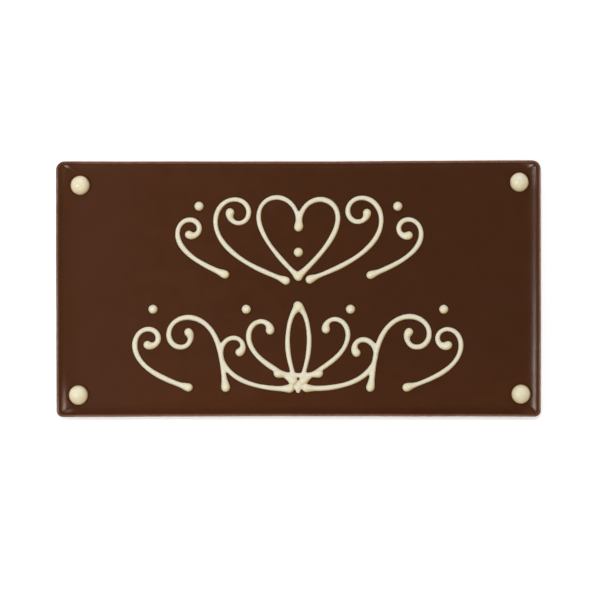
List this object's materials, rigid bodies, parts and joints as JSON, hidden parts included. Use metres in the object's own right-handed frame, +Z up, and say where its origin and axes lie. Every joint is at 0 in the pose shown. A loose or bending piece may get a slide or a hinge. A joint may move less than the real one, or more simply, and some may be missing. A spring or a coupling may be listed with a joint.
{
  "type": "chocolate bar",
  "caption": "Flat rectangular cast chocolate bar with a raised edge lip, a piped white chocolate flourish and a domed white chocolate dot in each corner.",
  "frame": {"origin": "middle of the underside, on the surface the bar lies on", "axes": "+Z up, out of the decorated face; +X along the bar's length, to the right of the decoration; +Y towards the top of the decoration"},
  "size_m": [0.2001, 0.106, 0.0123],
  "materials": {
    "chocolate": "satin brown chocolate, paler where its edge is rubbed",
    "white_chocolate": "satin white chocolate, cream coloured"
  },
  "bodies": {
    "root": {"bar": "chocolate", "dot_back_left": "white_chocolate", "dot_back_right": "white_chocolate", "dot_front_left": "white_chocolate", "dot_front_right": "white_chocolate"}
  },
  "joints": []
}
